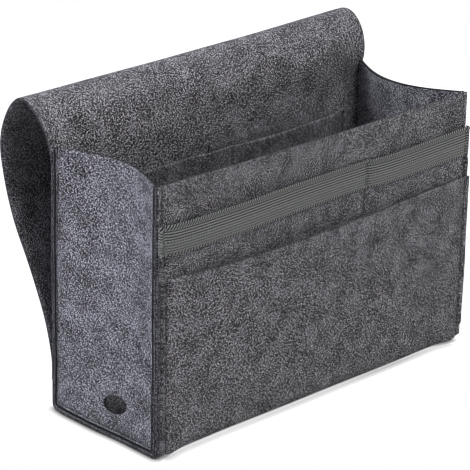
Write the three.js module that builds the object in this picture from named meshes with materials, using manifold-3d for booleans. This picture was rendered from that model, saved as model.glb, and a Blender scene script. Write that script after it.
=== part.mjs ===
// Bedside caddy of thick pressed felt: an open box with front pockets, inner pockets and a
// long flap that curls over the back and tucks under a mattress.
// Millimetres. +X runs along the front to the right, +Y to the back, +Z up.
// The origin is the middle of the underside of the box.

import * as THREE from 'three';
import { mergeVertices } from 'three/addons/utils/BufferGeometryUtils.js';
import Module from 'manifold-3d';

const wasm = await Module();
wasm.setup();

// Box, measured over the raw felt edges and the outer faces of the front and back walls
const WIDTH = 350;
const DEPTH = 126;
const HEIGHT = 228;
const FELT = 2.7;
const GAP = 0.3;
const FRONT_BEND_RADIUS = 16;
const REAR_BEND_RADIUS = 8;

// Side gussets: the lip is how far the sewn edge stands out past the side face, and the bow
// is how far the side face is drawn in at its top edge
const LIP = 2.6;
const LIP_BEND_RADIUS = 1.2;
const LEFT_BOW = 17;
const RIGHT_BOW = 22;
const BOW_FADE_POWER_SHARE = 2;

// Oval cable hole, low on the left side: its place is from the front wall and the ground
const HOLE_LENGTH = 27.4;
const HOLE_HEIGHT = 16.6;
const HOLE_TILT_DEG = 17;
const HOLE_FROM_FRONT = 56;
const HOLE_CENTRE_Z = 28.5;
const CUT_OVERRUN = 6;

// Front pockets and the webbing band, from the top of the box downwards. A mouth bulges most
// to the left of its middle.
const MIDDLE_POCKET_DROP = 30.5;
const MIDDLE_MOUTH_BULGE = 5;
const MIDDLE_BULGE_SKEW_SHARE = 0.45;
const WEBBING_RISE = 1.5;
const WEBBING_HEIGHT = 25;
const WEBBING_THICKNESS = 1.2;
const OUTER_POCKET_DROP = 19;
const OUTER_MOUTH_BULGE = 12.3;
const OUTER_BULGE_SKEW_SHARE = 0.75;
const BULGE_FADE_POWER_SHARE = 1.5;
const RIGHT_POCKET_WIDTH = 119;
const GROUND_GAP = 0.5;

// Inner pockets on the back wall. The tall pocket lies on the wall, behind the low one.
const TALL_POCKET_DROP = 32.5;
const TALL_POCKET_WIDTH = 144.5;
const TALL_POCKET_RIGHT_INSET = 19;
const LOW_POCKET_DROP = 40.5;
const LOW_POCKET_SIDE_INSET = 23;
const LOW_POCKET_BOTTOM = 36;
const LOW_POCKET_BULGE = 6;
const LOW_BULGE_SKEW_SHARE = 1;
const LOW_POCKET_DIVIDER_INSET = 23;
const LOW_POCKET_STEP_WIDTH = 14;
const TALL_POCKET_FLOOR_RISE = 8;

// Flap: arcs of felt from the top of the back wall to the free end, with the length of each
// on the face that looks at the wall, and its turn
const FLAP_RUN_LENGTHS = [24, 15, 12, 14, 19, 25, 32, 39, 60, 70];
const FLAP_RUN_TURNS_DEG = [38, 18, 45, 35, 20, 23, 10, 19, -8, -13];

// Sewing thread
const THREAD_THICKNESS = 0.6;
const THREAD_WIDTH = 0.9;
const SEAM_INSET = 6;
const SEAM_TOP_MARGIN = 2;
const WEBBING_STITCH_MARGIN = 2;
const DIVIDER_STITCH_TAIL = 26;
const POCKET_STITCH_INSET = 4;

// How finely the felt is divided
const BEND_STEPS = 6;
const SMALL_BEND_STEPS = 3;
const LIP_BEND_STEPS = 2;
const WALL_STEPS = 8;
const GUSSET_STEPS = 10;
const LEFT_POCKET_COLUMNS = 15;
const RIGHT_POCKET_COLUMNS = 7;
const WEBBING_ROWS = 3;
const LOW_POCKET_END_STEPS = 2;
const LOW_POCKET_STEP_STEPS = 4;
const LOW_POCKET_MIDDLE_STEPS = 8;
const HOLE_QUARTER_STEPS = 6;
const RUN_STEPS = 5;

// Derived places
const LAYER = FELT + GAP;
const FRONT_Y = -DEPTH / 2;
const BACK_Y = DEPTH / 2;
const BACK_INNER_Y = BACK_Y - FELT;
const HALF_WIDTH = WIDTH / 2;
const STITCH_X = HALF_WIDTH - SEAM_INSET;
const DIVIDER_X = STITCH_X - RIGHT_POCKET_WIDTH;
const MIDDLE_POCKET_TOP = HEIGHT - MIDDLE_POCKET_DROP;
const WEBBING_TOP = MIDDLE_POCKET_TOP + WEBBING_RISE;
const WEBBING_BOTTOM = WEBBING_TOP - WEBBING_HEIGHT;
const OUTER_POCKET_TOP = WEBBING_BOTTOM - OUTER_POCKET_DROP;
const LOW_POCKET_TOP = HEIGHT - LOW_POCKET_DROP;
const LOW_POCKET_END_X = HALF_WIDTH - LOW_POCKET_SIDE_INSET;
const TALL_POCKET_TOP = HEIGHT - TALL_POCKET_DROP;
const TALL_POCKET_BOTTOM = LOW_POCKET_BOTTOM + TALL_POCKET_FLOOR_RISE;
const TALL_POCKET_RIGHT = LOW_POCKET_END_X - TALL_POCKET_RIGHT_INSET;
const TALL_POCKET_LEFT = TALL_POCKET_RIGHT - TALL_POCKET_WIDTH;
const LOW_POCKET_DIVIDER_X = TALL_POCKET_LEFT + LOW_POCKET_DIVIDER_INSET;
const LOW_POCKET_STITCH_X = LOW_POCKET_END_X - POCKET_STITCH_INSET;

// How far the near face of each outer layer stands off the front wall
const MIDDLE_STANDOFF = GAP;
const OUTER_STANDOFF = LAYER + GAP;
const WEBBING_STANDOFF = LAYER + GAP;
const WEBBING_FACE = WEBBING_STANDOFF + WEBBING_THICKNESS;

function cloth(color, roughness) {
  return new THREE.MeshStandardMaterial({ color, roughness, metalness: 0 });
}
const FELT_DARK = cloth(0x55565a, 0.95);
const FELT_SIDE = cloth(0x6c6f78, 0.95);
const WEBBING_GREY = cloth(0x6a6d68, 0.6);
const THREAD_GREY = cloth(0x3a3b3e, 0.7);

const caddy = new THREE.Group();

function addPiece(name, geometry, material) {
  const mesh = new THREE.Mesh(geometry, material);
  mesh.name = name;
  caddy.add(mesh);
}

// Six times the signed volume, which is negative when the faces point inwards
function signedVolume(points, triangles) {
  let total = 0;
  for (const [a, b, c] of triangles) {
    total += points[a].dot(new THREE.Vector3().crossVectors(points[b], points[c]));
  }
  return total;
}

function geometryFrom(points, triangles) {
  const inwards = signedVolume(points, triangles) < 0;
  const numbers = points.flatMap((point) => point.toArray());
  const geometry = new THREE.BufferGeometry();
  geometry.setAttribute('position', new THREE.Float32BufferAttribute(numbers, 3));
  geometry.setIndex(triangles.flatMap(([a, b, c]) => (inwards ? [a, c, b] : [a, b, c])));
  geometry.computeVertexNormals();
  return geometry;
}

// A felt sheet from two matching skins and the quads that both share: the open border is
// found from the quads and closed by the cut edge of the felt.
function thicken(outer, inner, quads) {
  const count = outer.length;
  const triangles = [];
  const edges = new Map();
  for (const [a, b, c, d] of quads) {
    triangles.push([a, b, c], [a, c, d]);
    triangles.push([a + count, c + count, b + count], [a + count, d + count, c + count]);
    for (const [from, to] of [[a, b], [b, c], [c, d], [d, a]]) {
      edges.set(`${from}_${to}`, [from, to]);
    }
  }
  for (const [from, to] of edges.values()) {
    if (!edges.has(`${to}_${from}`)) {
      triangles.push([to, from, from + count], [to, from + count, to + count]);
    }
  }
  return geometryFrom([...outer, ...inner], triangles);
}

// Quads of a regular grid of points, written row after row
function gridQuads(rows, columns) {
  const quads = [];
  for (let row = 0; row + 1 < rows; row += 1) {
    for (let column = 0; column + 1 < columns; column += 1) {
      const corner = row * columns + column;
      quads.push([corner, corner + 1, corner + columns + 1, corner + columns]);
    }
  }
  return quads;
}

// A sheet over a list of profile stations and a list of x places.
// place(station, x, side) gives the point of the outer (side 1) or inner (side 0) skin.
function gridSheet(stations, places, place) {
  const outer = stations.flatMap((station) => places.map((x) => place(station, x, 1)));
  const inner = stations.flatMap((station) => places.map((x) => place(station, x, 0)));
  return thicken(outer, inner, gridQuads(stations.length, places.length));
}

function spread(start, end, steps) {
  return Array.from({ length: steps + 1 }, (_, k) => THREE.MathUtils.lerp(start, end, k / steps));
}

// Stations on the outline of the box, each with the way out of the box (ny, nz).
// A station's own place is on the outer face of the box wall.
function arcStations(centreY, centreZ, radius, startAngle, endAngle, steps) {
  return spread(startAngle, endAngle, steps).map((angle) => {
    const ny = Math.cos(angle);
    const nz = Math.sin(angle);
    return { y: centreY + radius * ny, z: centreZ + radius * nz, ny, nz };
  });
}

function frontStation(z) {
  return { y: FRONT_Y, z, ny: -1, nz: 0 };
}

function frontStations(top) {
  return spread(top, FRONT_BEND_RADIUS, WALL_STEPS).map(frontStation);
}

function frontBendStations(endAngle) {
  const centreY = FRONT_Y + FRONT_BEND_RADIUS;
  const radius = FRONT_BEND_RADIUS;
  return arcStations(centreY, radius, radius, -Math.PI, endAngle, BEND_STEPS).slice(1);
}

function rearStations(top) {
  const radius = REAR_BEND_RADIUS;
  const bend = arcStations(BACK_Y - radius, radius, radius, -Math.PI / 2, 0, SMALL_BEND_STEPS);
  return [...bend, { y: BACK_Y, z: top, ny: 1, nz: 0 }];
}

// One long strip of felt is the front wall, the bottom and the back wall
const wrapStations = [
  ...frontStations(HEIGHT),
  ...frontBendStations(-Math.PI / 2),
  ...rearStations(HEIGHT),
];
addPiece('felt_wrap', gridSheet(wrapStations, [-HALF_WIDTH, HALF_WIDTH], (s, x, side) => {
  const inset = side ? 0 : FELT;
  return new THREE.Vector3(x, s.y - inset * s.ny, s.z - inset * s.nz);
}), FELT_DARK);

// Share of a mouth's bulge at x: none at the two stitch lines, and a skew under 1 moves the
// fullest place to the left
function bulgeShare(x, left, right, skewShare) {
  const across = THREE.MathUtils.clamp((x - left) / (right - left), 0, 1);
  return Math.sin(Math.PI * across ** skewShare);
}

// Share of the mouth's bulge that is left at height z
function bulgeFade(z, top) {
  const up = THREE.MathUtils.clamp((z - FRONT_BEND_RADIUS) / (top - FRONT_BEND_RADIUS), 0, 1);
  return up ** BULGE_FADE_POWER_SHARE;
}

function middleBulge(x, z) {
  const share = bulgeShare(x, -STITCH_X, DIVIDER_X, MIDDLE_BULGE_SKEW_SHARE);
  return MIDDLE_MOUTH_BULGE * share * bulgeFade(z, MIDDLE_POCKET_TOP);
}

function outerBulge(x, z) {
  const share = bulgeShare(x, -STITCH_X, STITCH_X, OUTER_BULGE_SKEW_SHARE);
  const own = OUTER_MOUTH_BULGE * share * bulgeFade(z, OUTER_POCKET_TOP);
  return Math.max(own, middleBulge(x, z));
}

// A point that stands out from the box outline by a distance and by the bulge there
function outside(station, x, distance, bulge) {
  const reach = distance + bulge(x, station.z);
  return new THREE.Vector3(x, station.y + reach * station.ny, station.z + reach * station.nz);
}

// A pocket panel runs down the front and round the bend until its outer skin meets the ground
function pocketStations(top, standoff) {
  const outerRadius = FRONT_BEND_RADIUS + standoff + FELT;
  const turn = Math.asin((FRONT_BEND_RADIUS - GROUND_GAP) / outerRadius);
  return [...frontStations(top), ...frontBendStations(-Math.PI + turn)];
}

const pocketPlaces = [
  -HALF_WIDTH,
  ...spread(-STITCH_X, DIVIDER_X, LEFT_POCKET_COLUMNS),
  ...spread(DIVIDER_X, STITCH_X, RIGHT_POCKET_COLUMNS).slice(1),
  HALF_WIDTH,
];

addPiece('middle_pocket_panel', gridSheet(
  pocketStations(MIDDLE_POCKET_TOP, MIDDLE_STANDOFF),
  pocketPlaces,
  (s, x, side) => outside(s, x, MIDDLE_STANDOFF + side * FELT, middleBulge),
), FELT_DARK);

addPiece('outer_pocket_panel', gridSheet(
  pocketStations(OUTER_POCKET_TOP, OUTER_STANDOFF),
  pocketPlaces,
  (s, x, side) => outside(s, x, OUTER_STANDOFF + side * FELT, outerBulge),
), FELT_DARK);

// Webbing band, sewn flat on the top of the middle pocket
addPiece('pocket_webbing', gridSheet(
  spread(WEBBING_TOP, WEBBING_BOTTOM, WEBBING_ROWS).map(frontStation),
  pocketPlaces,
  (s, x, side) => outside(s, x, WEBBING_STANDOFF + side * WEBBING_THICKNESS, middleBulge),
), WEBBING_GREY);

// Side gusset: a face with a lip turned outwards along its front, bottom and back edges.
// A section of the lip says, for its outer and its inner skin, how far it lies out from the
// border of the side face (in y and z) and how deep behind the raw edge (in x).
const lipBend = spread(0, Math.PI / 2, LIP_BEND_STEPS).slice(1).map((angle) => {
  const centreDepth = LIP - LIP_BEND_RADIUS;
  const outerRadius = LIP_BEND_RADIUS;
  const innerRadius = LIP_BEND_RADIUS + FELT;
  return {
    outer: [outerRadius * Math.sin(angle), centreDepth + outerRadius * Math.cos(angle)],
    inner: [innerRadius * Math.sin(angle), centreDepth + innerRadius * Math.cos(angle)],
  };
});
const lipEdge = { outer: [LIP_BEND_RADIUS, 0], inner: [LIP_BEND_RADIUS + FELT, 0] };
const faceInset = FELT + GAP + FELT + LIP_BEND_RADIUS;

// The border of the side face, with the way out of the box at each station
function gussetBorder() {
  const frontRadius = FRONT_BEND_RADIUS - faceInset;
  const rearRadius = Math.max(REAR_BEND_RADIUS - faceInset, GAP);
  const frontY = FRONT_Y + faceInset + frontRadius;
  const rearY = BACK_Y - faceInset - rearRadius;
  const frontZ = faceInset + frontRadius;
  const rearZ = faceInset + rearRadius;
  const down = -Math.PI / 2;
  const level = spread(frontY, rearY, GUSSET_STEPS).slice(1, -1);
  return [
    ...arcStations(frontY, frontZ, frontRadius, -Math.PI, down, BEND_STEPS),
    ...level.map((y) => ({ y, z: faceInset, ny: 0, nz: -1 })),
    ...arcStations(rearY, rearZ, rearRadius, down, 0, SMALL_BEND_STEPS),
  ];
}

function bowAt(y, z, bow) {
  const along = (y - FRONT_Y - faceInset) / (DEPTH - 2 * faceInset);
  return bow * Math.sin(Math.PI * along) * (z / HEIGHT) ** BOW_FADE_POWER_SHARE;
}

// side is -1 on the left and 1 on the right
function gussetGeometry(side, bow) {
  const border = gussetBorder();
  const last = border.length - 1;
  const heights = spread(0, 1, GUSSET_STEPS);
  const outer = [];
  const inner = [];

  // The face
  for (const share of heights) {
    for (const s of border) {
      const z = THREE.MathUtils.lerp(s.z, HEIGHT, share);
      const depth = LIP + bowAt(s.y, z, bow);
      outer.push(new THREE.Vector3(side * (HALF_WIDTH - depth), s.y, z));
      inner.push(new THREE.Vector3(side * (HALF_WIDTH - depth - FELT), s.y, z));
    }
  }
  const quads = gridQuads(heights.length, border.length);

  // The lip goes down the front edge, along the bottom and up the back edge
  const rows = heights.map((share, row) => ({ share, start: row * border.length })).slice(1);
  const path = [
    ...rows.map((row) => ({ index: row.start, station: border[0], share: row.share })).reverse(),
    ...border.map((station, k) => ({ index: k, station, share: 0 })),
    ...rows.map((row) => ({ index: row.start + last, station: border[last], share: row.share })),
  ];
  const lipPoint = ({ station, share }, [out, depth]) => new THREE.Vector3(
    side * (HALF_WIDTH - depth),
    station.y + out * station.ny,
    THREE.MathUtils.lerp(station.z, HEIGHT, share) + out * station.nz,
  );
  let ring = path.map(({ index }) => index);
  for (const section of [...lipBend, lipEdge]) {
    const next = path.map((_, k) => outer.length + k);
    outer.push(...path.map((place) => lipPoint(place, section.outer)));
    inner.push(...path.map((place) => lipPoint(place, section.inner)));
    for (let k = 0; k + 1 < path.length; k += 1) {
      quads.push([ring[k + 1], ring[k], next[k], next[k + 1]]);
    }
    ring = next;
  }
  return thicken(outer, inner, quads);
}

// Solids for cutting, and back again
function toSolid(geometry) {
  const bare = new THREE.BufferGeometry();
  bare.setAttribute('position', geometry.getAttribute('position').clone());
  if (geometry.index) bare.setIndex(geometry.index.clone());
  const merged = mergeVertices(bare);
  return new wasm.Manifold(new wasm.Mesh({
    numProp: 3,
    vertProperties: new Float32Array(merged.getAttribute('position').array),
    triVerts: new Uint32Array(merged.index.array),
  }));
}

function fromSolid(solid) {
  const mesh = solid.getMesh();
  const geometry = new THREE.BufferGeometry();
  geometry.setAttribute('position', new THREE.Float32BufferAttribute(mesh.vertProperties, 3));
  geometry.setIndex(new THREE.Uint32BufferAttribute(mesh.triVerts, 1));
  geometry.computeVertexNormals();
  return geometry;
}

// Oval bar that cuts the cable hole: the hole's back end sits lower than its front end
function holeCutter() {
  const oval = new THREE.Shape();
  oval.absellipse(0, 0, HOLE_LENGTH / 2, HOLE_HEIGHT / 2, 0, 2 * Math.PI, false, 0);
  const bar = new THREE.ExtrudeGeometry(oval, {
    depth: LIP + FELT + 2 * CUT_OVERRUN,
    bevelEnabled: false,
    curveSegments: 2 * HOLE_QUARTER_STEPS,
  });
  bar.rotateZ(-THREE.MathUtils.degToRad(HOLE_TILT_DEG));
  bar.rotateX(Math.PI / 2);
  bar.rotateZ(Math.PI / 2);
  bar.translate(-HALF_WIDTH - CUT_OVERRUN, FRONT_Y + HOLE_FROM_FRONT, HOLE_CENTRE_Z);
  return bar;
}

const leftGusset = toSolid(gussetGeometry(-1, LEFT_BOW)).subtract(toSolid(holeCutter()));
addPiece('left_gusset', fromSolid(leftGusset), FELT_SIDE);
addPiece('right_gusset', gussetGeometry(1, RIGHT_BOW), FELT_SIDE);

// Inner pockets. Each skin is given by how far it stands off the inner face of the back wall.
function wallSheet(top, bottom, places, standoffAt, thickness) {
  return gridSheet(spread(top, bottom, WALL_STEPS), places, (z, x, side) => {
    const standoff = standoffAt(x, z) + side * thickness;
    return new THREE.Vector3(x, BACK_INNER_Y - standoff, z);
  });
}

addPiece('inner_pocket_tall', wallSheet(
  TALL_POCKET_TOP,
  TALL_POCKET_BOTTOM,
  [TALL_POCKET_LEFT, TALL_POCKET_RIGHT],
  () => GAP,
  FELT,
), FELT_DARK);

// The low pocket lies on the wall at its ends and steps over the tall one
const stepLeft = [TALL_POCKET_LEFT - LOW_POCKET_STEP_WIDTH, TALL_POCKET_LEFT - GAP];
const stepRight = [TALL_POCKET_RIGHT + GAP, TALL_POCKET_RIGHT + LOW_POCKET_STEP_WIDTH];

function lowPocketStandoff(x, z) {
  const rise = THREE.MathUtils.smoothstep(x, ...stepLeft);
  const fall = 1 - THREE.MathUtils.smoothstep(x, ...stepRight);
  const up = (z - LOW_POCKET_BOTTOM) / (LOW_POCKET_TOP - LOW_POCKET_BOTTOM);
  const swell = bulgeShare(x, LOW_POCKET_DIVIDER_X, LOW_POCKET_STITCH_X, LOW_BULGE_SKEW_SHARE);
  return GAP + LAYER * Math.min(rise, fall) + LOW_POCKET_BULGE * swell * up;
}

const lowPocketPlaces = [
  ...spread(-LOW_POCKET_END_X, stepLeft[0], LOW_POCKET_END_STEPS),
  ...spread(...stepLeft, LOW_POCKET_STEP_STEPS).slice(1),
  ...spread(LOW_POCKET_DIVIDER_X, stepRight[0], LOW_POCKET_MIDDLE_STEPS),
  ...spread(...stepRight, LOW_POCKET_STEP_STEPS).slice(1),
  LOW_POCKET_END_X,
];
addPiece('inner_pocket_low', wallSheet(
  LOW_POCKET_TOP,
  LOW_POCKET_BOTTOM,
  lowPocketPlaces,
  lowPocketStandoff,
  FELT,
), FELT_DARK);

// Flap: the walk starts on the rear face of the back wall, goes up and turns backwards
function flapRuns() {
  const runs = [];
  let y = BACK_Y;
  let z = HEIGHT + GAP / 2;
  let heading = Math.PI / 2;
  FLAP_RUN_LENGTHS.forEach((length, k) => {
    const turn = THREE.MathUtils.degToRad(FLAP_RUN_TURNS_DEG[k]) / RUN_STEPS;
    const step = length / RUN_STEPS;
    const run = [{ y, z, heading }];
    for (let i = 0; i < RUN_STEPS; i += 1) {
      y += step * Math.cos(heading - turn / 2);
      z += step * Math.sin(heading - turn / 2);
      heading -= turn;
      run.push({ y, z, heading });
    }
    runs.push(run);
  });
  return runs;
}

// Each panel is drawn in by half a gap at both ends, so that neighbours do not touch
flapRuns().forEach((run, k) => {
  const stations = run.map((s, i) => {
    const drawnIn = (i === 0 ? GAP / 2 : 0) - (i === RUN_STEPS ? GAP / 2 : 0);
    const y = s.y + drawnIn * Math.cos(s.heading);
    const z = s.z + drawnIn * Math.sin(s.heading);
    return { y, z, heading: s.heading };
  });
  const number = String(k + 1).padStart(2, '0');
  addPiece(`flap_panel_${number}`, gridSheet(stations, [-HALF_WIDTH, HALF_WIDTH], (s, x, side) => {
    const rise = side * FELT;
    return new THREE.Vector3(x, s.y - rise * Math.sin(s.heading), s.z + rise * Math.cos(s.heading));
  }), FELT_DARK);
});

// A thread along a profile in the y-z plane: pairs of points on its near and far side
function threadAlong(pairs, x) {
  const places = [x - THREAD_WIDTH / 2, x + THREAD_WIDTH / 2];
  return gridSheet(pairs, places, ([near, far], place, side) => {
    const [y, z] = side ? far : near;
    return new THREE.Vector3(place, y, z);
  });
}

// A point pair of a thread on a face that stands off the front wall. drop is how far below z
// the thread's far side lies, where the thread steps from one face to the next.
function frontPair(standoff, z, drop = 0) {
  const near = FRONT_Y - standoff - GAP;
  return [[near, z], [near - THREAD_THICKNESS, z - drop]];
}

// The front seam runs down the wall, over the webbing, the middle pocket and the outer pocket
function frontSeamPairs() {
  const face = OUTER_STANDOFF + LAYER;
  const bend = pocketStations(OUTER_POCKET_TOP, face).slice(WALL_STEPS).map((s) => {
    const place = (standoff) => [s.y + standoff * s.ny, s.z + standoff * s.nz];
    return [place(face), place(face + THREAD_THICKNESS)];
  });
  return [
    frontPair(0, HEIGHT - SEAM_TOP_MARGIN),
    frontPair(0, WEBBING_TOP + GAP, -THREAD_THICKNESS),
    frontPair(WEBBING_FACE, WEBBING_TOP + GAP, -THREAD_THICKNESS),
    frontPair(WEBBING_FACE, WEBBING_BOTTOM - GAP, THREAD_THICKNESS),
    frontPair(LAYER, WEBBING_BOTTOM - GAP, THREAD_THICKNESS),
    frontPair(LAYER, OUTER_POCKET_TOP + GAP, -THREAD_THICKNESS),
    frontPair(OUTER_STANDOFF + FELT, OUTER_POCKET_TOP + GAP, -THREAD_THICKNESS),
    ...bend,
  ];
}

// A straight seam on the rear face of the back wall
function rearSeamPairs() {
  const near = BACK_Y + GAP;
  const far = near + THREAD_THICKNESS;
  return [HEIGHT - SEAM_TOP_MARGIN, REAR_BEND_RADIUS].map((z) => [[near, z], [far, z]]);
}

for (const [sideName, side] of [['left', -1], ['right', 1]]) {
  addPiece(`front_${sideName}_seam`, threadAlong(frontSeamPairs(), side * STITCH_X), THREAD_GREY);
  addPiece(`rear_${sideName}_seam`, threadAlong(rearSeamPairs(), side * STITCH_X), THREAD_GREY);
}

// The line of stitches that divides the middle pocket, from the top of the webbing
const dividerPairs = [
  frontPair(WEBBING_FACE, WEBBING_TOP - SEAM_TOP_MARGIN),
  frontPair(WEBBING_FACE, WEBBING_BOTTOM - GAP, THREAD_THICKNESS),
  frontPair(LAYER, WEBBING_BOTTOM - GAP, THREAD_THICKNESS),
  frontPair(LAYER, OUTER_POCKET_TOP - DIVIDER_STITCH_TAIL),
];
addPiece('pocket_divider_stitch', threadAlong(dividerPairs, DIVIDER_X), THREAD_GREY);

// Stitches along the lower edge of the band, between the side seams and the divider
function webbingStitch(left, right) {
  const z = WEBBING_BOTTOM + WEBBING_STITCH_MARGIN;
  const margin = THREAD_WIDTH + GAP;
  const between = pocketPlaces.filter((x) => x > left + margin && x < right - margin);
  const places = [left + margin, ...between, right - margin];
  const stations = [z + THREAD_WIDTH / 2, z - THREAD_WIDTH / 2].map(frontStation);
  const standoff = WEBBING_FACE + GAP;
  return gridSheet(stations, places, (s, x, side) => (
    outside(s, x, standoff + side * THREAD_THICKNESS, middleBulge)
  ));
}
addPiece('webbing_stitch_left', webbingStitch(-STITCH_X, DIVIDER_X), THREAD_GREY);
addPiece('webbing_stitch_right', webbingStitch(DIVIDER_X, STITCH_X), THREAD_GREY);

// Stitches of the inner pockets: down both ends and at the divider
for (const [name, x] of [
  ['inner_stitch_left', -LOW_POCKET_STITCH_X],
  ['inner_stitch_middle', LOW_POCKET_DIVIDER_X],
  ['inner_stitch_right', LOW_POCKET_STITCH_X],
]) {
  const places = [x - THREAD_WIDTH / 2, x + THREAD_WIDTH / 2];
  const face = (place, z) => Math.max(...places.map((p) => lowPocketStandoff(p, z))) + LAYER;
  const top = LOW_POCKET_TOP - SEAM_TOP_MARGIN;
  const bottom = LOW_POCKET_BOTTOM + SEAM_TOP_MARGIN;
  addPiece(name, wallSheet(top, bottom, places, face, THREAD_THICKNESS), THREAD_GREY);
}

export default caddy;
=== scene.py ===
# Bedside caddy of thick pressed felt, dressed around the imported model.
# Lengths are in millimetres until a mesh is made. +X runs right, +Y to the back, +Z up.
import math

import bpy
import numpy as np
from mathutils import Matrix, Vector


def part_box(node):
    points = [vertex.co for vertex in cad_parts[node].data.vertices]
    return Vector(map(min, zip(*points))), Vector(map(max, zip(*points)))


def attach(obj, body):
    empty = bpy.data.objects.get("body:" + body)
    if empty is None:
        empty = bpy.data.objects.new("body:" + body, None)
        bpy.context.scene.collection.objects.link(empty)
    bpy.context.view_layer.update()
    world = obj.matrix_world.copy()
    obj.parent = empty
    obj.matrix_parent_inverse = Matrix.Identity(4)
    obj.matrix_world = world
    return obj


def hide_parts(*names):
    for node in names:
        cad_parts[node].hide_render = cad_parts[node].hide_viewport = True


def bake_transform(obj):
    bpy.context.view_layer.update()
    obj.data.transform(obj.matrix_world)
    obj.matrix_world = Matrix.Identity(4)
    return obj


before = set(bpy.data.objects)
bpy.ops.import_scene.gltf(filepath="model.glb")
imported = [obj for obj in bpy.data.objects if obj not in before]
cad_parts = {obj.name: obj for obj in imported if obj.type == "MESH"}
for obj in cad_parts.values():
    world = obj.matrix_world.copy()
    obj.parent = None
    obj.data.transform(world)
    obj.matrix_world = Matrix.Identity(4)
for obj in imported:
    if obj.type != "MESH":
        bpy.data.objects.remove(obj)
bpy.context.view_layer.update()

MM = 0.001


def node_box(node):
    """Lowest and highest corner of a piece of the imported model, in millimetres."""
    low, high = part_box(node)
    return np.array(low) / MM, np.array(high) / MM


def middle_x(node):
    low, high = node_box(node)
    return (low[0] + high[0]) / 2


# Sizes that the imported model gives
WRAP_LOW, WRAP_HIGH = node_box("felt_wrap")
HALF_WIDTH = WRAP_HIGH[0]
FRONT_Y, BACK_Y, HEIGHT = WRAP_LOW[1], WRAP_HIGH[1], WRAP_HIGH[2]
MIDDLE_POCKET_TOP = node_box("middle_pocket_panel")[1][2]
OUTER_POCKET_TOP = node_box("outer_pocket_panel")[1][2]
WEBBING_BOTTOM, WEBBING_TOP = (corner[2] for corner in node_box("pocket_webbing"))
RIGHT_SEAM_SHIFT = 2
RIGHT_SEAM_X = middle_x("front_right_seam") + RIGHT_SEAM_SHIFT
DIVIDER_X = middle_x("pocket_divider_stitch")

# Inner pockets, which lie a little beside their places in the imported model
INNER_SHIFT = np.array([3.5, 0, -1.5])
TALL_MOUTH_DROP = np.array([0, 0, 2.5])
LOW_POCKET = [corner + INNER_SHIFT for corner in node_box("inner_pocket_low")]
TALL_POCKET = [corner + INNER_SHIFT for corner in node_box("inner_pocket_tall")]
TALL_POCKET[1] -= TALL_MOUTH_DROP
INNER_SEAMS = [middle_x(f"inner_stitch_{place}") + INNER_SHIFT[0] for place in ("left", "middle", "right")]
LEFT_INNER_BULGE = 4
RIGHT_INNER_BULGE = 5
RIGHT_INNER_SKEW = 0.7
LOW_POCKET_STEP_WIDTH = 14
# Painted shade on the faces of the inner pockets, deep in the box
INNER_POCKET_PAINTED_SHADE = 0.2

# Felt, as cut and as it lies in the seams
CUT_THICKNESS = 2.7
GAP = 0.3
LAYER = CUT_THICKNESS + GAP
FELT = 2.86
FRONT_BEND_RADIUS = 16
TIGHT_BEND_RADIUS = 4.6
BEND_EASE = 30
FRONT_SWAY = 1.5
FOOT_SPREAD = 2.0
RIGHT_SPREAD = 1.3
SPREAD_HEIGHT = 34
SPREAD_WIDTH = 30
SPREAD_GROWS = (-25, 15)
SPREAD_ENDS = 45
RIGHT_SPREAD_BACK = -20
UNEVEN_WAVES = 9
UNEVEN_LENGTHS = (48, 130)
UNEVEN_HEIGHT = 0.12
LEFT_SEAM_INSET = 4.7
LEFT_SEAM_X = -(HALF_WIDTH - LEFT_SEAM_INSET)
OUTER_SEAMS = (LEFT_SEAM_X, RIGHT_SEAM_X)
FRONT_SEAMS = (LEFT_SEAM_X, DIVIDER_X, RIGHT_SEAM_X)

# Side gussets
LIP = 1.5
LIP_BEND_RADIUS = 0.8
GUSSET_CORNER_RADIUS = 1.0
GUSSET_SPACING = 2.5
GUSSET_INSET = 2 * CUT_THICKNESS + GAP + LIP_BEND_RADIUS
GUSSET_FACE_DEPTH = LIP + CUT_THICKNESS / 2
LEFT_BOW = 17
RIGHT_BOW = 22

# Cable hole: its place is from the front wall and the ground
HOLE_LENGTH = 28.4
HOLE_HEIGHT = 15.8
HOLE_TILT = math.radians(17)
HOLE_FROM_FRONT = 50.4
HOLE_CENTRE_Z = 28.8
HOLE_MARGIN = 5
HOLE_REACH = np.array([HOLE_LENGTH, HOLE_HEIGHT]) / 2 + HOLE_MARGIN

# Front pockets and webbing
MIDDLE_MOUTH_BULGE = 6
RIGHT_MOUTH_BULGE = 4
MIDDLE_BULGE_SKEW = 0.45
OUTER_MOUTH_BULGE = 12.3
OUTER_BULGE_SKEW = 0.75
WEBBING_THICKNESS = 1.2
LEFT_EDGE_FLARE = 2.2
RIGHT_EDGE_FLARE = 0.7
FLARE_GROWS = (150, WEBBING_BOTTOM + 4)
OUTER_OVERHANG = 0.3
MIDDLE_OVERHANG = 2.2
OVERHANG_WIDTH = 12
OVERHANG_GROWS = (WEBBING_BOTTOM + 1, WEBBING_BOTTOM - 5)
OUTER_RIGHT_FLARE = 1.5
POCKET_END_HEIGHT = 4.4
POCKET_CORNER_HEIGHT = 7.5
POCKET_CORNER_WIDTH = 9
DIVIDER_BELOW_MOUTH = 26
POCKET_END_DARK = 0.4
POCKET_END_DARK_SPAN = (3.4, 1.8)
WEBBING_RETURN = 2.2
RIB_PITCH = 2.3
WEBBING_SEAM_INSET = 1.5
WEBBING_SEAM_X = -(HALF_WIDTH - WEBBING_SEAM_INSET)
WEBBING_RIGHT_INSET = 1.2
WEBBING_INSET_GROWS = (HALF_WIDTH - 12, HALF_WIDTH - 2)
WEBBING_END_GAP = 0.4
WEBBING_TURN_RADIUS = 0.5
WEBBING_GRID = 0.36
RIB_RISE = 0.14
LOW_RIB_SHARE = 0.35
RIBS_GROW = (8, 12)
WEBBING_GROOVE_SHARE = 0.9
END_GROOVE_DEPTH = 0.5
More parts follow.
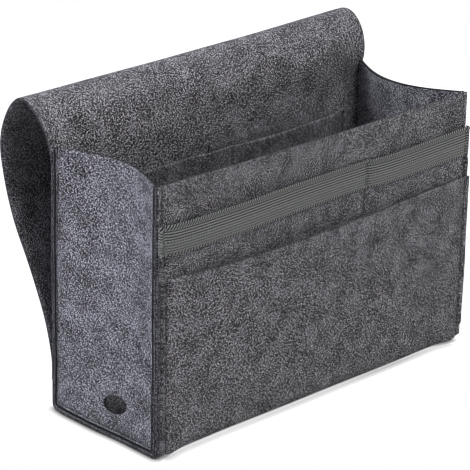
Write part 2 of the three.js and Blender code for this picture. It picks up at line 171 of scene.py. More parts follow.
END_GROOVE_HALF_WIDTH = 0.7
SELVEDGE_RISE = 0.22
SELVEDGE_HEIGHT = 24
SELVEDGE_HALF_WIDTH = 1.1

# Flap: arcs of felt on the face that looks at the wall, the first of them on the wall itself,
# and how far each one turns at the left end, in the middle and at the right end
FLAP_RUN_LENGTHS = [22, 24, 15, 12, 14, 19, 25, 32, 39, 60, 60]
FLAP_TURNS_LEFT = [20, 28, 18, 59, 24, 12.7, 28.6, 8.2, 12.6, -7.7, -31]
FLAP_TURNS_MIDDLE = [1, 43, 24, 46, 29, 16, 22, 9, 17, -10, -18]
FLAP_TURNS_RIGHT = [-17, 38, 29, 48, 40, 21, 20, 7, 16, -9, -10]
FLAP_NARROWING = 0.012
FLAP_NARROW_LENGTH = 45
FLAP_ROW_SPACING = 2.2
FEWEST_FLAP_ROWS = 6
FLAP_STEP = 0.5
FLAP_EASE = 9
FLAP_START_Z = HEIGHT + GAP / 2 - FLAP_RUN_LENGTHS[0]
FIRST_CUT_Z = 210
CUT_SEARCH = 24
FLAP_SEAM_ENDS = (18, 8)
FLAP_PANELS = 10
BLEND_MARGIN = 2.4
BLEND_MARGIN_SHARE = 0.18

# Stitches
GROOVE_DEPTH = 0.8
# Dents are darkened with their depth: painted shade in stitch grooves, on felt pressed denser there.
GROOVE_PAINTED_SHADE = 0.65
GROOVE_HALF_WIDTH = 1.2
GROOVE_LINES = (-2.4, -1.2, 0, 1.2, 2.4)
STITCH_PITCH = 4.2
STITCH_LENGTH = 3.3
STITCH_ARCH = 0.55
WEBBING_STITCH_PITCH = 3.6
WEBBING_STITCH_HEIGHT = 2
THREAD_WIDTH = 0.8
SEAM_TOP_MARGIN = 2
EDGE_MARGIN = 0.5
STEP_MARGIN = 1
SEAM_SPACING = 6
WALL_SEAM_POINTS = 30
INNER_SEAM_POINTS = 24
WALL_THREAD_RISE = 0.1
TAPE_THREAD_RISE = 0.25
DIVIDER_HIDDEN = 20
REAR_SEAM_REACH = 4
TO_FRONT, TO_BACK = (0, -1, 0), (0, 1, 0)

# Mesh
SPACING = 3
CROWDED_SHARE = 0.45
BEND_ROWS = 27
POCKET_BEND_SHARES = [*np.linspace(0, 0.9, 10), 0.95, 1]
TIGHT_BEND_ROWS = 9
EDGE_LINE = 0.7
HOLE_RING_SHARES = (0.3, 0.6, 0.8, 1 - EDGE_LINE / HOLE_MARGIN, 1.0)
EDGE_SOFTNESS = 0.8
RIM_BULGE = 0.3

# How dark raw edges are: on the outer face, on the inner face and between them
# Partly the cut felt's own tone, partly painted shade in the gaps beside the edges and on the cable hole's
# cut wall. The low inner pocket's edges are darkened less.
RAW_EDGE_DARK = (0.34, 0.34, 0.8)
SIDE_EDGE_DARK = (0.38, 1, 0.95)
LOW_POCKET_EDGE_DARK = (0.2, 0.2, 0.3)

# How far each face's cloth lies from the strip's outer face, so that no two look alike
BACK_SHIFT = (531, 277)
SIDE_SHIFT = np.array([1000, 700])
MIDDLE_SHIFT = (0, 1400)
OUTER_SHIFT = (120, 2300)
TALL_SHIFT = (40, 3100)
LOW_SHIFT = (80, 3700)


def ramp(start, end, value):
    """0 before start, 1 past end and straight between. It also runs downwards."""
    return np.clip((value - start) / (end - start), 0, 1)


def smooth(start, end, value):
    """0 before start, 1 past end and an eased ramp between."""
    share = ramp(start, end, value)
    return share * share * (3 - 2 * share)


def fade(distance, half_width):
    """1 at no distance, and less and less away from there."""
    return np.exp(-((distance / half_width) ** 2))


def running(values):
    """0 and then the running sum."""
    return np.concatenate([[0], np.cumsum(values)])


def as_rows(*columns):
    """A row for each point, from its coordinates."""
    return np.stack(np.broadcast_arrays(*columns), axis=-1).reshape(-1, len(columns))


def ticks(start, end, spacing, close_to=()):
    """Places from start to end, closer together at both ends and at each place in close_to."""
    sign = 1 if end > start else -1
    even = np.linspace(start, end, max(2, round(abs(end - start) / spacing)) + 1)
    fine = [start + sign * EDGE_LINE, end - sign * EDGE_LINE]
    fine += [place + line for place in close_to for line in GROOVE_LINES]
    fine = [place for place in fine if min(start, end) < place < max(start, end)]
    free = [t for t in even[1:-1] if min(abs(t - f) for f in fine) > CROWDED_SHARE * spacing]
    return np.array(sorted([start, end, *fine, *free], reverse=sign < 0))


def unevenness(points):
    """Soft unevenness of pressed felt: waves through space, so that what touches stays together."""
    rng = np.random.default_rng(11)
    moved = np.zeros_like(points)
    for _ in range(UNEVEN_WAVES):
        way = rng.normal(size=3)
        way /= np.linalg.norm(way)
        length = rng.uniform(*UNEVEN_LENGTHS)
        push = rng.normal(size=3) * UNEVEN_HEIGHT
        phase = rng.uniform(0, 2 * math.pi)
        moved += np.sin(points @ way * 2 * math.pi / length + phase)[:, None] * push
    return moved


def settle(points):
    """Moves points of the box as the real one has settled: uneven, with the foot of the left side
    spread outwards behind and the right end of the front spread a little."""
    moved = points + unevenness(points)
    x, y, z = points.T
    spread = smooth(*SPREAD_GROWS, y) * smooth(BACK_Y + 2, SPREAD_ENDS, y) * smooth(SPREAD_HEIGHT, 0, z)
    moved[:, 0] -= FOOT_SPREAD * spread * smooth(SPREAD_WIDTH, 0, x + HALF_WIDTH)
    right = smooth(HALF_WIDTH - SPREAD_WIDTH, HALF_WIDTH, x)
    moved[:, 0] += RIGHT_SPREAD * right * smooth(RIGHT_SPREAD_BACK, FRONT_Y, y)
    return moved


def add_object(name, data):
    thing = bpy.data.objects.new(name, data)
    bpy.context.scene.collection.objects.link(thing)
    return thing


def sheet_normals(points, quads):
    a, b, c, d = (points[quads[:, k]] for k in range(4))
    faces = np.cross(c - a, d - b)
    total = np.zeros_like(points)
    for k in range(4):
        np.add.at(total, quads[:, k], faces)
    return total / np.linalg.norm(total, axis=1, keepdims=True)


def grid_quads(rows, columns):
    grid = np.arange(rows * columns).reshape(rows, columns)
    corners = [grid[:-1, :-1], grid[1:, :-1], grid[1:, 1:], grid[:-1, 1:]]
    return np.stack(corners, axis=-1).reshape(-1, 4)


def ring_quads(before, after):
    """Quads between two closed rings of points."""
    return np.stack([np.roll(before, -1), before, after, np.roll(after, -1)], axis=1)


def border_edges(quads, count):
    """Edges that only one quad has, in the order in which that quad has them."""
    pairs = np.concatenate([quads[:, [k, (k + 1) % 4]] for k in range(4)])
    return pairs[~np.isin(pairs @ [count, 1], pairs @ [1, count])]


def summed_at_ends(edges, vectors, count):
    """Unit vector at each point, summed from the vectors of the edges that meet there."""
    total = np.zeros((count, vectors.shape[1]))
    np.add.at(total, edges[:, 0], vectors)
    np.add.at(total, edges[:, 1], vectors)
    return total / np.maximum(np.linalg.norm(total, axis=1, keepdims=True), 1e-9)


def build_sheet(
    name, points, quads, cloth, thickness, material, normals=None, dent=0, joined=None, extra_dark=0,
    edge_dark=RAW_EDGE_DARK,
):
    """A sheet with two faces and soft raw edges, from the points of its middle surface.
    cloth gives each point's place on the flat cloth, dent how deep its outer face is pressed in,
    joined is true where the sheet runs on into the next piece, extra_dark is how much darker its outer
    face is made, and edge_dark how dark the raw edges are: on the outer face, on the inner face and
    between them. Dents darken the outer face as painted shade, and the dark raw edges are partly
    painted shade."""
    count = len(points)
    normals = sheet_normals(points, quads) if normals is None else normals
    joined = np.zeros(count, bool) if joined is None else joined
    dent = np.zeros(count) + dent
    border = border_edges(quads, count)
    is_cut = joined[border[:, 0]] & joined[border[:, 1]]
    raw, cuts = border[~is_cut], border[is_cut]
    along = points[raw[:, 1]] - points[raw[:, 0]]
    outward = summed_at_ends(raw, np.cross(along, normals[raw].mean(axis=1)), count)
    step = cloth[raw[:, 1]] - cloth[raw[:, 0]]
    cloth_out = summed_at_ends(raw, np.stack([step[:, 1], -step[:, 0]], axis=1), count)

    on_rim = np.unique(raw)
    rim_of = np.full(count, -1)
    rim_of[on_rim] = 2 * count + np.arange(len(on_rim))
    half = np.full(count, thickness / 2)
    half[on_rim] *= EDGE_SOFTNESS
    outer = points + normals * (half - dent)[:, None]
    inner = points - normals * half[:, None]
    rim = points + outward * RIM_BULGE - normals * dent[:, None] / 2
    vertices = np.concatenate([outer, inner, rim[on_rim]]) * MM

    a, b = raw[:, 0], raw[:, 1]
    first_band = np.stack([b, a, rim_of[a], rim_of[b]], axis=1)
    second_band = np.stack([rim_of[b], rim_of[a], a + count, b + count], axis=1)
    back_quads = quads[:, ::-1]
    caps = []
    for a_cut, b_cut in cuts:
        face = [b_cut, a_cut, rim_of[a_cut], a_cut + count, b_cut + count, rim_of[b_cut]]
        caps.append([int(k) for k in face if k >= 0])
    faces = np.concatenate([quads, back_quads + count, first_band, second_band]).tolist() + caps

    middle_a, middle_b = (cloth[k] + cloth_out[k] * thickness / 2 for k in (a, b))
    far_a, far_b = (cloth[k] + cloth_out[k] * thickness for k in (a, b))
    flat = [
        cloth[quads],
        cloth[back_quads] + BACK_SHIFT,
        np.stack([cloth[b], cloth[a], middle_a, middle_b], axis=1),
        np.stack([middle_b, middle_a, far_a, far_b], axis=1),
        np.zeros((sum(len(cap) for cap in caps), 2)),
    ]
    places = np.concatenate([part.reshape(-1, 2) for part in flat]) * MM

    mesh = bpy.data.meshes.new(name)
    mesh.from_pydata(vertices.tolist(), [], faces)
    mesh.uv_layers.new(name="cloth").data.foreach_set("uv", places.astype(np.float32).ravel())
    # Painted shade: dents darken with their depth, and raw edges darken, partly as the cut felt's own tone.
    # The extra darkening that a piece asks for goes on its outer face.
    dark = np.zeros(len(vertices), np.float32)
    dark[:count] = np.maximum(np.clip(dent / GROOVE_DEPTH, 0, 1) * GROOVE_PAINTED_SHADE, extra_dark)
    dark[on_rim], dark[on_rim + count], dark[2 * count:] = edge_dark
    mesh.attributes.new("dark", "FLOAT", "POINT").data.foreach_set("value", dark)
    mesh.shade_smooth()
    mesh.materials.append(material)
    mesh.update()
    if len(cuts):
        shade_through_cuts(mesh, normals, joined, cuts, count, len(quads))
    return add_object(name, mesh)


def shade_through_cuts(mesh, normals, joined, cuts, count, face_quads):
    """Gives the points on a joint with the next piece the shading of the whole sheet. The mesh
    begins with the quads of its outer face and then those of its inner face."""
    on_cut = {frozenset((int(a) + side, int(b) + side)) for a, b in cuts for side in (0, count)}
    sharp = [frozenset(edge.vertices) in on_cut for edge in mesh.edges]
    mesh.edges.foreach_set("use_edge_sharp", sharp)
    corners = np.array([corner.vector for corner in mesh.corner_normals])
    vertex_of = np.array([corner.vertex_index for corner in mesh.loops])
    for side, sign in ((0, 1), (1, -1)):
        span = np.arange(4 * face_quads) + side * 4 * face_quads
        local = vertex_of[span] - side * count
        chosen = joined[local]
        corners[span[chosen]] = sign * normals[local[chosen]]
    mesh.normals_split_custom_set(corners.tolist())


def wear(piece, node):
    """The piece belongs to the box and stands for a node, whose part of the imported model is hidden."""
    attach(piece, "caddy")
    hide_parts(node)


def lay(piece, node):
    wear(piece, node)


# Materials

def add_node(tree, kind, inputs=None, **settings):
    node = tree.nodes.new(kind)
    for name, value in settings.items():
        setattr(node, name, value)
    for name, value in (inputs or {}).items():
        if isinstance(value, bpy.types.NodeSocket):
            tree.links.new(value, node.inputs[name])
        else:
            node.inputs[name].default_value = value
    return node


def math_node(tree, operation, *values):
    return add_node(tree, "ShaderNodeMath", dict(enumerate(values)), operation=operation).outputs[0]


def scaled(tree, value, factor, offset):
    return math_node(tree, "MULTIPLY_ADD", value, factor, offset)


def new_material(name):
    material = bpy.data.materials.new(name)
    material.use_nodes = True
    return material, material.node_tree


def color_ramp(tree, fac, stops):
    """Colour at a value, between stops that each have a value and a colour."""
    node = add_node(tree, "ShaderNodeValToRGB", {"Fac": fac})
    elements = node.color_ramp.elements
    while len(elements) < len(stops):
        elements.new(0.5)
    for element, (position, color) in zip(elements, stops):
        element.position = position
        element.color = (*color, 1)
    return node.outputs["Color"]


def dark_share(tree):
    """How dark the sheet is at a point: raw edges, partly painted shade; stitch grooves and other dents, as
    painted shade; and parts made darker, among them the inner pockets with painted shade.
    """
    return add_node(tree, "ShaderNodeAttribute", attribute_name="dark").outputs["Fac"]


def finish_surface(tree, color, height, bump_strength, bump_distance, finish):
    """Gives the material its colour, its fine relief and the constant values of its finish."""
    surface = tree.nodes["Principled BSDF"].inputs
    relief = {"Height": height, "Strength": bump_strength, "Distance": bump_distance * MM}
    bump = add_node(tree, "ShaderNodeBump", relief)
    tree.links.new(color, surface["Base Color"])
    tree.links.new(bump.outputs[0], surface["Normal"])
    for name, value in finish.items():
        surface[name].default_value = value


def cloth_noise(tree, place, scale, detail, roughness=0.5, distortion=0.0, turn=0.0, stretch=1):
    """Noise on the flat cloth, with scale in waves per metre, and long in one direction if stretched."""
    if stretch != 1:
        mapping = add_node(
            tree, "ShaderNodeMapping",
            {"Vector": place, "Rotation": (0, 0, turn), "Scale": (stretch, stretch ** -0.5, 1)},
            vector_type="TEXTURE",
        )
        place = mapping.outputs[0]
    values = {"Scale": scale, "Detail": detail, "Roughness": roughness, "Distortion": distortion}
    noise = add_node(tree, "ShaderNodeTexNoise", {"Vector": place, **values}, noise_dimensions="2D")
    return noise.outputs["Fac"]


# Near-black that raw edges and dents darken towards: partly painted shade.
DARK_EDGE_AND_SHADE_COLOR = (0.012, 0.012, 0.0125, 1)
# Fibres of the felt in waves per metre, and how much each kind shows. The lays are the ways in which
# they lie on the cloth, in radians, for the hairs each with its share.
MELANGE_LEVEL = -2.66
GRAIN_SCALE, GRAIN_SHARE = 1225, 1.75
HAIR_SCALE = 945
HAIR_LAYS = [(2.3, 1.0), (0.1, 0.72), (0.85, 0.78), (1.5, 0.7)]
WISP_SCALE, WISP_SHARE = 260, 0.28
WISP_LAYS = (0.4, 1.1, 2.3)
PATCH_SCALE, PATCH_SHARE = 60, 0.4
MELANGE_GREYS = [(0.2, 0.02), (0.42, 0.085), (0.56, 0.19), (0.8, 0.62)]
FELT_FINISH = {"Roughness": 1.0, "Specular IOR Level": 0.0, "Sheen Weight": 0.12, "Sheen Roughness": 0.6}


def felt_material(name, tint, brightness):
    """Melange felt: dark and light fibres pressed together, in clumps and soft patches."""
    material, tree = new_material(name)
    cloth = add_node(tree, "ShaderNodeUVMap", uv_map="cloth").outputs[0]
    grain = cloth_noise(tree, cloth, GRAIN_SCALE, detail=1, roughness=0.6, distortion=0.3)
    mix = scaled(tree, grain, GRAIN_SHARE, MELANGE_LEVEL)
    for turn, share in HAIR_LAYS:
        hair = cloth_noise(tree, cloth, HAIR_SCALE, detail=1, distortion=0.35, turn=turn, stretch=2.2)
        mix = scaled(tree, hair, share, mix)
    for turn in WISP_LAYS:
        wisp = cloth_noise(tree, cloth, WISP_SCALE, detail=2, distortion=0.8, turn=turn, stretch=2.5)
        mix = scaled(tree, wisp, WISP_SHARE, mix)
    patches = cloth_noise(tree, cloth, PATCH_SCALE, detail=2)
    mix = scaled(tree, patches, PATCH_SHARE, mix)
    stops = [(place, [grey * brightness * t for t in tint]) for place, grey in MELANGE_GREYS]
    fibres = color_ramp(tree, mix, stops)
    # The dark attribute mixes the felt towards near-black: painted shade in dents and at raw edges, partly
    # the cut felt's tone, and the extra darkening of some pieces.
    darker = add_node(tree, "ShaderNodeMix", {"Factor": dark_share(tree)}, data_type="RGBA")
    sockets = {socket.identifier: socket for socket in darker.inputs}
    tree.links.new(fibres, sockets["A_Color"])
    sockets["B_Color"].default_value = DARK_EDGE_AND_SHADE_COLOR
    color = next(socket for socket in darker.outputs if socket.enabled)
    finish_surface(tree, color, mix, 0.5, 0.6, FELT_FINISH)
    return material


# Bands of the tape by height in millimetres, and the weaves in them: waves per metre along and
# across the tape, and sharpness
SELVEDGE_BOTTOM, DASHES_BOTTOM, DASHES_TOP, TOP_EDGE_BOTTOM = 2.0, 10.6, 11.8, 21.3
TWILL_TOP, TWILL_EASE, BAND_EASE, SELVEDGE_EASE = 10, 2.5, 0.3, 0.4
TWILL_WEAVES = (420, 330, 0.4), (-380, 400, 0.4)
RIB_WEAVES = (0, 1 / (RIB_PITCH * MM), 0.5), (420, 385, 0.5)
DASHES, TOP_EDGE, SELVEDGE = (380, 100, 0.9), (-400, 250, 1.2), (-340, 150, 1.1)
WEBBING_FINISH = {"Roughness": 0.62, "Specular IOR Level": 0.3, "Sheen Weight": 0.08}


def webbing_material():
    """Grey-green tape: ribs along its upper part, slanted floats at the edge and a twill below."""
    material, tree = new_material("ribbed_webbing")
    cloth = add_node(tree, "ShaderNodeUVMap", uv_map="cloth").outputs[0]
    along, across, _ = add_node(tree, "ShaderNodeSeparateXYZ", {"Vector": cloth}).outputs

    def weave(x_waves, y_waves, sharpness):
        turn = math_node(tree, "MULTIPLY", along, x_waves * 2 * math.pi)
        turn = scaled(tree, across, y_waves * 2 * math.pi, turn)
        wave = math_node(tree, "SINE", turn)
        return scaled(tree, wave, sharpness, 0.5)

    def above(height, ease):
        """0 below a height on the tape and 1 above it."""
        span = {"From Min": (height - ease) * MM, "From Max": (height + ease) * MM}
        return add_node(tree, "ShaderNodeMapRange", {"Value": across, **span}).outputs[0]

    def blended(share, low, high):
        return add_node(tree, "ShaderNodeMix", {"Factor": share, "A": low, "B": high}).outputs[0]

    twill = blended(0.5, *(weave(*values) for values in TWILL_WEAVES))
    ribs = blended(0.3, *(weave(*values) for values in RIB_WEAVES))
    pattern = blended(above(TWILL_TOP, TWILL_EASE), blended(0.45, twill, ribs), ribs)
    dashes = blended(above(DASHES_TOP, BAND_EASE), weave(*DASHES), pattern)
    pattern = blended(above(DASHES_BOTTOM, BAND_EASE), pattern, dashes)
    pattern = blended(above(TOP_EDGE_BOTTOM, BAND_EASE), pattern, weave(*TOP_EDGE))
    pattern = blended(above(SELVEDGE_BOTTOM, SELVEDGE_EASE), weave(*SELVEDGE), pattern)
    yarn = cloth_noise(tree, cloth, 900, detail=1, stretch=2.0)
    pattern = scaled(tree, yarn, 0.5, pattern)
    # The dark attribute darkens the tape: painted shade in its stitch grooves and rib troughs, and dark raw
    # ends.
    dark = dark_share(tree)
    shown = scaled(tree, pattern, 1.05, -0.26)
    shown = scaled(tree, dark, -0.5, shown)
    color = color_ramp(tree, shown, [(0.15, (0.022, 0.023, 0.022)), (0.8, (0.33, 0.34, 0.325))])
    height = scaled(tree, dark, 0.3, pattern)
    finish_surface(tree, color, height, 0.6, 0.4, WEBBING_FINISH)
    return material


def thread_material():
    """Dark twisted sewing thread."""
    material, tree = new_material("sewing_thread")
    place = add_node(tree, "ShaderNodeTexCoord").outputs["Object"]
    noise = add_node(tree, "ShaderNodeTexNoise", {"Vector": place, "Scale": 1400, "Detail": 1})
    twist = noise.outputs["Fac"]
    color = color_ramp(tree, twist, [(0.35, (0.03, 0.03, 0.033)), (0.7, (0.12, 0.12, 0.128))])
    finish_surface(tree, color, twist, 0.4, 0.2, {"Roughness": 0.7, "Specular IOR Level": 0.3})
    return material


FELT_BODY = felt_material("melange_felt", (1.0, 0.985, 1.035), 1.22)
# The side gussets wear a lighter, bluer copy of the body felt: painted light for the cool light that falls
# on the sides.
FELT_SIDE_PAINTED_LIGHT = felt_material("melange_felt_side_painted_lighter", (0.985, 0.985, 1.07), 1.27)
WEBBING = webbing_material()
THREAD = thread_material()


# Long strip: front wall, bottom, back wall and flap

def front_sway(x, z):
    """How far the front wall stands out at its middle."""
    across, up = ramp(-HALF_WIDTH, HALF_WIDTH, x), ramp(FRONT_BEND_RADIUS, HEIGHT, z)
    return FRONT_SWAY * np.sin(math.pi * across) * up ** 1.5


def front_radius(x):
    """The front bend is tight where the gussets hold it and easy between them."""
    ease = smooth(0, BEND_EASE, HALF_WIDTH - np.abs(x))
    return TIGHT_BEND_RADIUS + (FRONT_BEND_RADIUS - TIGHT_BEND_RADIUS) * ease


def bend_path(length, radius, standoff):
    """Place (y, z) at a length along the front bend, for a sheet whose middle stands off the bend
    by standoff: down the wall, round the bend and along the ground."""
    drop = FRONT_BEND_RADIUS - radius
    arc = (radius + standoff) * math.pi / 2
    turn = np.clip((length - drop) / (radius + standoff), 0, math.pi / 2)
    y = FRONT_Y + radius + (radius + standoff) * -np.cos(turn) + np.maximum(length - drop - arc, 0)
    z = radius + (radius + standoff) * -np.sin(turn) + np.maximum(drop - length, 0)
    return y, z


def even_steps(start, end, spacing=SPACING):
    return np.linspace(start, end, round((end - start) / spacing) + 1)


def box_grid(places):
    """Points and lengths of the middle of the felt, a row for each station: from the top of the
    front wall, under the box and up the back wall to the first cut. Also which rows are sewn."""
    half = CUT_THICKNESS / 2
    x = np.array(places)
    rows, lengths, is_sewn = [], [], []

    def add_row(y, z, length, sewn=False):
        rows.append(as_rows(x, y, z))
        lengths.append(np.broadcast_to(length, x.shape))
        is_sewn.append(sewn)

    for z in ticks(HEIGHT, FRONT_BEND_RADIUS, SPACING)[:-2]:
        add_row(FRONT_Y + half - front_sway(x, z), z, HEIGHT - z, sewn=z > WEBBING_TOP + 1)
    radius = front_radius(x)
    whole = 2 * (FRONT_BEND_RADIUS - radius) + (radius - half) * math.pi / 2
    for share in np.linspace(0, 1, BEND_ROWS):
        y, z = bend_path(share * whole, radius, -half)
        add_row(y, z, HEIGHT - FRONT_BEND_RADIUS + share * whole)
    start_y, end_y = FRONT_Y + FRONT_BEND_RADIUS, BACK_Y - TIGHT_BEND_RADIUS
    run = lengths[-1]
    for y in even_steps(start_y, end_y)[1:-1]:
        add_row(y, half, run + y - start_y)
    run = run + end_y - start_y
    middle = TIGHT_BEND_RADIUS - half
    for turn in np.linspace(0, math.pi / 2, TIGHT_BEND_ROWS):
        y, z = end_y + middle * math.sin(turn), TIGHT_BEND_RADIUS - middle * math.cos(turn)
        add_row(y, z, run + middle * turn)
    run = lengths[-1]
    for z in even_steps(TIGHT_BEND_RADIUS, FIRST_CUT_Z)[1:]:
        add_row(BACK_Y - half, z, run + z - TIGHT_BEND_RADIUS, sewn=True)
    return np.stack(rows), np.stack(lengths), np.array(is_sewn)


def flap_profile(end_share):
    """Places (y, z) and heading of the felt's middle, every FLAP_STEP along the flap.
    end_share is 1 at the left end of the flap, 0 in the middle and -1 at the right end."""
    left, middle, right = np.radians([FLAP_TURNS_LEFT, FLAP_TURNS_MIDDLE, FLAP_TURNS_RIGHT])
    turns = middle + end_share * (left - right) / 2 + end_share ** 2 * ((left + right) / 2 - middle)
    ends = running(FLAP_RUN_LENGTHS)
    along = np.arange(0, ends[-1] + FLAP_STEP / 2, FLAP_STEP)
    heading = math.pi / 2 - np.interp(along, ends, running(turns))
    window = round(FLAP_EASE / FLAP_STEP)
    padded = np.pad(heading, window // 2, mode="edge")
    window += 1 - window % 2
    heading = np.convolve(padded, np.ones(window) / window, "valid")
    between = (heading[1:] + heading[:-1]) / 2
    y = BACK_Y + running(np.cos(between)) * FLAP_STEP
    z = FLAP_START_Z + running(np.sin(between)) * FLAP_STEP
    half = CUT_THICKNESS / 2
    return along, y - half * np.sin(heading), z + half * np.cos(heading), heading


def flap_cuts():
    """Where the flap is divided, between every two hinges: a point (y, z), the heading there and
    the length along the flap."""
    along, *path = flap_profile(0)
    ends = running(FLAP_RUN_LENGTHS)
    marks = [FIRST_CUT_Z - FLAP_START_Z, *((ends[1:-1] + ends[2:]) / 2)]
    return [(*(np.interp(s, along, values) for values in path), s) for s in marks]


def flap_columns(places, rows_between):
    """Points of the flap for each x place: rows run from cut to cut, and from the last to the tip."""
    cuts = flap_cuts()
    columns, lengths = [], []
    for x in places:
        along, y, z, _ = flap_profile(-x / HALF_WIDTH)
        marks = []
        for cut_y, cut_z, heading, s in cuts[:-1]:
            ahead = (y - cut_y) * math.cos(heading) + (z - cut_z) * math.sin(heading)
            near = np.abs(along - s) < CUT_SEARCH
            marks.append(np.interp(0, ahead[near], along[near]))
        marks.append(along[-1])
        s = [marks[0]]
        for k, rows in enumerate(rows_between):
            s += np.linspace(marks[k], marks[k + 1], rows + 1)[1:].tolist()
        s = np.array([*s[:-1], s[-1] - EDGE_LINE, s[-1]])
        narrowed = x * (1 - FLAP_NARROWING * smooth(marks[-1] - FLAP_NARROW_LENGTH, marks[-1], s))
        columns.append(as_rows(narrowed, np.interp(s, along, y), np.interp(s, along, z)))
        lengths.append(s)
    return np.stack(columns, axis=1), np.stack(lengths, axis=1)


def make_strip():
    """The strip as one grid, cut into the box part and one piece for each hinge of the flap."""
    places = ticks(-HALF_WIDTH, HALF_WIDTH, SPACING, OUTER_SEAMS)
    cuts = flap_cuts()
    marks = [s for *_, s in cuts[:-1]] + [sum(FLAP_RUN_LENGTHS)]
    rows_between = [round((b - a) / FLAP_ROW_SPACING) for a, b in zip(marks, marks[1:])]
    rows_between = np.maximum(rows_between, FEWEST_FLAP_ROWS)
    flap, flap_lengths = flap_columns(places, rows_between)
    box, box_lengths, is_sewn = box_grid(places)
    points = np.concatenate([box, flap[1:]])
    lengths = np.concatenate([box_lengths, box_lengths[-1] + flap_lengths[1:] - flap_lengths[0]])
    rows, columns = points.shape[:2]
    flat_points = settle(points.reshape(-1, 3))
    quads = grid_quads(rows, columns)
    normals = sheet_normals(flat_points, quads)
    cloth = as_rows(points[:, :, 0], lengths)

    from_seam = np.min([np.abs(points[:, :, 0] - x) for x in OUTER_SEAMS], axis=0)
    pressed = np.zeros((rows, columns))
    pressed[: len(box)] = is_sewn[:, None]
    pressed[len(box):] = smooth(*FLAP_SEAM_ENDS, flap_lengths[1:])
    dent = (GROOVE_DEPTH * fade(from_seam, GROOVE_HALF_WIDTH) * pressed).reshape(-1)

    bounds = [0, *(len(box) - 1 + running(rows_between))]
    bounds[-1] += 1
    for k in range(FLAP_PANELS + 1):
        first_row, last_row = bounds[k], bounds[k + 1]
        part = slice(first_row * columns, (last_row + 1) * columns)
        here = last_row - first_row + 1
        joined = np.zeros((here, columns), bool)
        joined[0] = k > 0
        joined[-1] = k < FLAP_PANELS
        name = f"flap_strip_{k:02d}" if k else "wrap"
        piece = build_sheet(
            name, flat_points[part], grid_quads(here, columns), cloth[part], FELT, FELT_BODY,
            normals[part], dent[part], joined.reshape(-1),
        )
        if k == 0:
            lay(piece, "felt_wrap")
        else:
            hang_between(piece, k, cuts)


def hang_between(piece, k, cuts):
    """Piece k of the flap, over hinge k: hides its panel in the imported model and bakes the piece's place
    into its mesh. The ends of the hinge's run are worked out, but nothing uses them, so the piece neither
    bends nor follows a body.
    """
    start, end = (np.array([0, *cuts[n][:2]]) for n in (k - 1, k))
    way = (end - start) / np.linalg.norm(end - start)
    margin = min(BLEND_MARGIN, BLEND_MARGIN_SHARE * np.linalg.norm(end - start))
    start, end = start + way * margin, end - way * margin
    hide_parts(f"flap_panel_{k:02d}")
    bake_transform(piece)


# Side gussets

def gusset_border():
    """Border of a side face: (y, z, way out y, way out z), down the front corner and along the ground."""
    radius = GUSSET_CORNER_RADIUS
    front_y, rear_y = FRONT_Y + GUSSET_INSET + radius, BACK_Y - GUSSET_INSET - radius

    def corner(centre_y, start, end):
        ways = [(math.cos(angle), math.sin(angle)) for angle in np.linspace(start, end, 5)]
        return [(centre_y + radius * wy, GUSSET_INSET + radius * (1 + wz), wy, wz) for wy, wz in ways]

    ground = [(y, GUSSET_INSET, 0.0, -1.0) for y in even_steps(front_y, rear_y, GUSSET_SPACING)[1:-1]]
    front, rear = corner(front_y, -math.pi, -math.pi / 2), corner(rear_y, -math.pi / 2, 0)
    return np.array(front + ground + rear)


def side_x(y, z, side, bow):
    """Place (x) of the middle of a side face, which bows into the box towards its top."""
    across = np.clip((y - FRONT_Y - GUSSET_INSET) / (BACK_Y - FRONT_Y - 2 * GUSSET_INSET), 0, 1)
    inward = bow * np.sin(math.pi * across) * (z / HEIGHT) ** 2
    return side * (HALF_WIDTH - GUSSET_FACE_DEPTH - inward)


def gusset_surface(side, bow):
    """Points of the middle of a gusset, its quads and its cloth. side is -1 on the left, 1 on the right."""
    border = gusset_border()
    columns = len(border)
    shares = ticks(0, HEIGHT, SPACING)[1:] / HEIGHT
    shares[0] = 0
    y = np.repeat(border[None, :, 0], len(shares), axis=0)
    z = border[None, :, 1] + (HEIGHT - border[None, :, 1]) * shares[:, None]
    points = [as_rows(side_x(y, z, side, bow), y, z)]
    cloth = [as_rows(y, z)]
    quads = [grid_quads(len(shares), columns)]

    # The lip follows the front edge down, the ground and the back edge up
    grid = np.arange(len(shares) * columns).reshape(len(shares), columns)
    path = np.concatenate([grid[:0:-1, 0], grid[0], grid[1:, -1]])
    way_y, way_z = border[path % columns, 2:].T
    base_y, base_z = points[0][path, 1], points[0][path, 2]
    middle = LIP_BEND_RADIUS + CUT_THICKNESS / 2
    centre_depth = LIP - LIP_BEND_RADIUS
    turns = np.linspace(0, math.pi / 2, 6)[1:]
    sections = [(middle * math.sin(turn), centre_depth + middle * math.cos(turn)) for turn in turns]
    sections += [(middle, EDGE_LINE), (middle, 0)]
    ring, made, run, before = path, len(points[0]), 0.0, (0.0, GUSSET_FACE_DEPTH)
    for out, depth in sections:
        run += math.hypot(out - before[0], depth - before[1])
        before = (out, depth)
        points.append(as_rows(side * (HALF_WIDTH - depth), base_y + out * way_y, base_z + out * way_z))
        cloth.append(cloth[0][path] + run * as_rows(way_y, way_z))
        after = made + np.arange(len(path))
        quads.append(np.stack([ring[1:], ring[:-1], after[:-1], after[1:]], axis=1))
        ring, made = after, made + len(path)
    # Seen from outside, the quads run the same way round on both sides
    return np.concatenate(points), np.concatenate(quads)[:, ::-side], np.concatenate(cloth), grid


